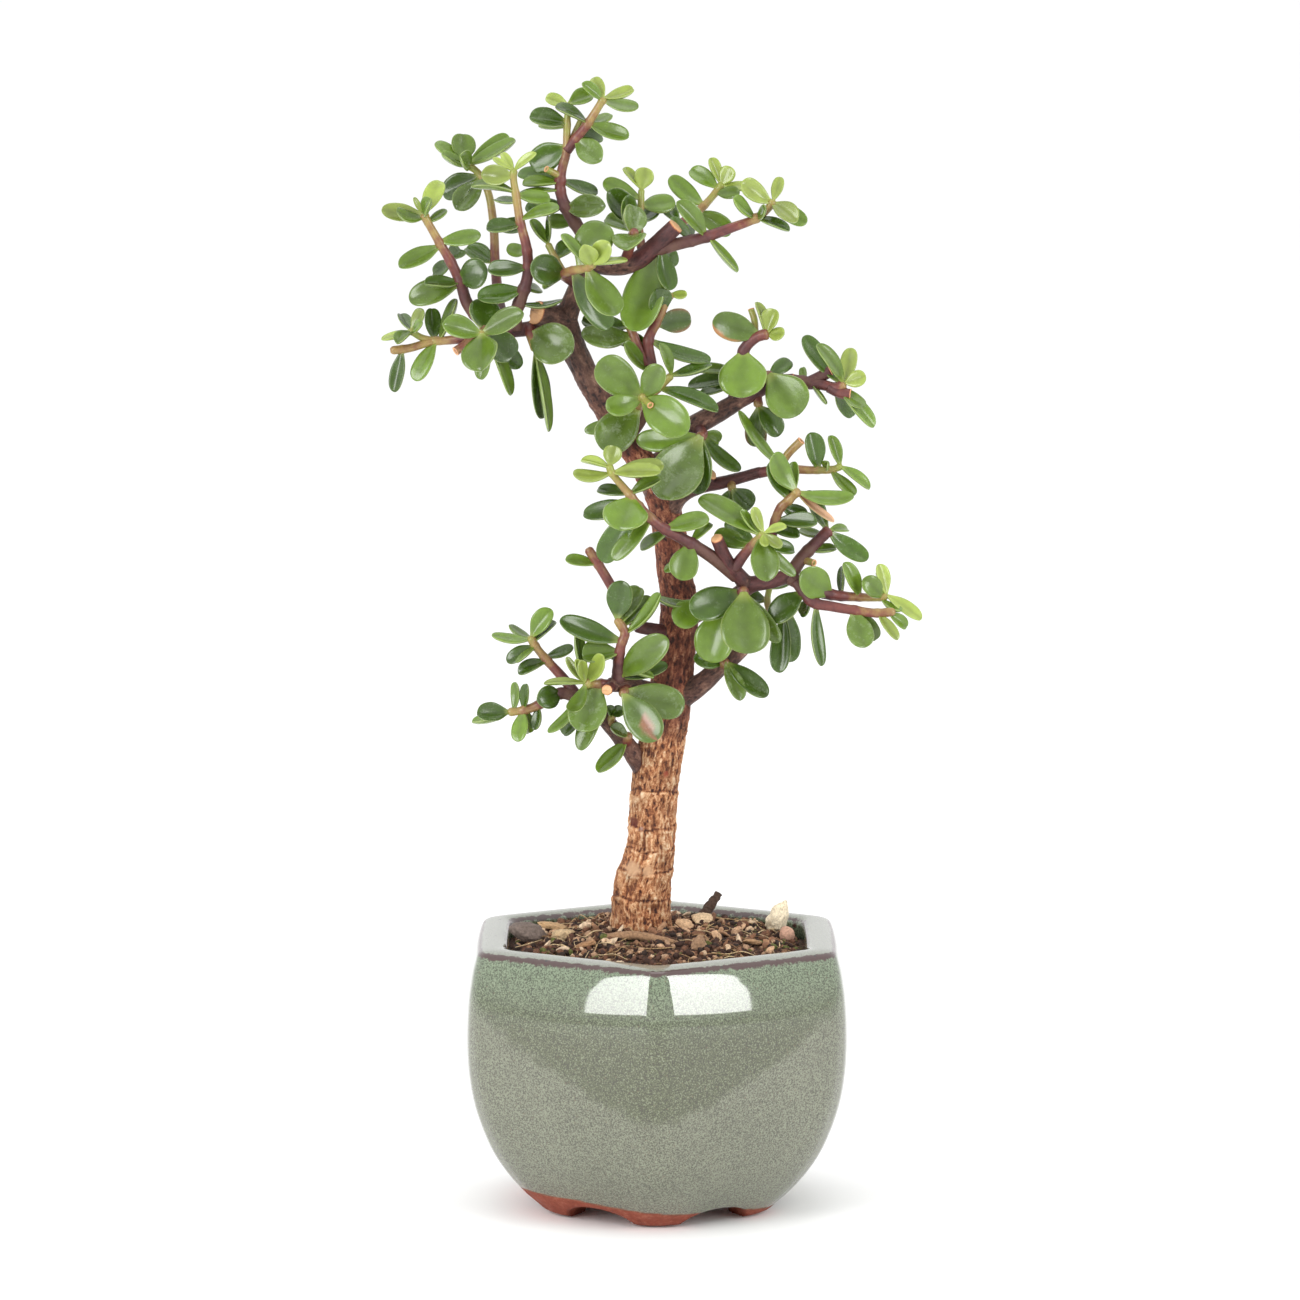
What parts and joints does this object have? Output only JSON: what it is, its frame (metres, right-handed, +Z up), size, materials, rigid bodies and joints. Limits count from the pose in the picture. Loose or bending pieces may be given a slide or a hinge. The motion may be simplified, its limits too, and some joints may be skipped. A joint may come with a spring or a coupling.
{
  "type": "potted dwarf jade tree",
  "caption": "Small dwarf jade tree with a bare curved trunk and fleshy round leaves, planted in peat and bark in a hexagonal celadon-glazed bonsai pot on short feet.",
  "frame": {"origin": "on the floor, under the middle of the pot, which is also the middle of the whole plant seen from above", "axes": "+Z up; the front of the tree faces -Y; +X to the right as seen from the front"},
  "size_m": [0.146, 0.1152, 0.3091],
  "materials": {
    "glaze": "gloss",
    "drain_mesh": "matte",
    "bark": "matte",
    "soil": "matte",
    "root": "matte",
    "dead_twig": "matte",
    "leaf_green": "satin",
    "leaf_dark": "satin",
    "leaf_lime": "satin",
    "stone_brown": "matte",
    "stone_pale": "matte",
    "stone_pink": "matte",
    "bark_chip": "matte"
  },
  "bodies": {
    "root": {"pot": "glaze", "drain_mesh": "drain_mesh", "trunk": "bark", "shoot_crown": "leaf_lime", "shoot_left_mid": "leaf_green", "shoot_left_back": "leaf_green", "shoot_left_far": "leaf_green", "shoot_left_low": "leaf_green", "shoot_left_front": "leaf_green", "shoot_left_hanging": "leaf_green", "shoot_front_top": "leaf_green", "shoot_top_dark": "leaf_dark", "shoot_top_cluster": "leaf_green", "shoot_right_back": "leaf_green", "shoot_right_top": "leaf_green", "shoot_mid_right_top": "leaf_green", "shoot_mid_front": "leaf_dark", "shoot_mid_dusty": "leaf_dark", "shoot_right_pair": "leaf_dark", "shoot_right_round": "leaf_lime", "shoot_right_under": "leaf_green", "shoot_right_end": "leaf_lime", "shoot_right_mid": "leaf_dark", "shoot_right_low": "leaf_green", "shoot_right_upper": "leaf_lime", "shoot_front_cross": "leaf_dark", "shoot_front_lime": "leaf_lime", "shoot_right_red": "leaf_green", "shoot_right_far": "leaf_lime", "shoot_right_lowest": "leaf_green", "shoot_front_big": "leaf_dark", "shoot_front_round": "leaf_green", "shoot_front_oval": "leaf_green", "shoot_low_right": "leaf_green", "shoot_low_branch": "leaf_green", "shoot_left_up": "leaf_green", "shoot_left_tan": "leaf_dark", "shoot_left_lime": "leaf_lime", "shoot_left_scarred": "leaf_dark", "shoot_low_left": "leaf_green", "shoot_low_left_bud": "leaf_lime", "shoot_left_reach": "leaf_lime", "shoot_left_rise": "leaf_lime", "surface_root": "root", "dead_twig": "dead_twig", "stone_left": "stone_brown", "stone_white": "stone_pale", "pebble_pink": "stone_pink", "pebble_front": "stone_brown", "pebble_tan": "stone_pale", "bark_chip_1": "bark_chip", "bark_chip_2": "bark_chip", "bark_chip_3": "bark_chip", "bark_chip_4": "bark_chip", "bark_chip_5": "bark_chip", "bark_chip_6": "bark_chip", "soil": "soil"}
  },
  "joints": []
}
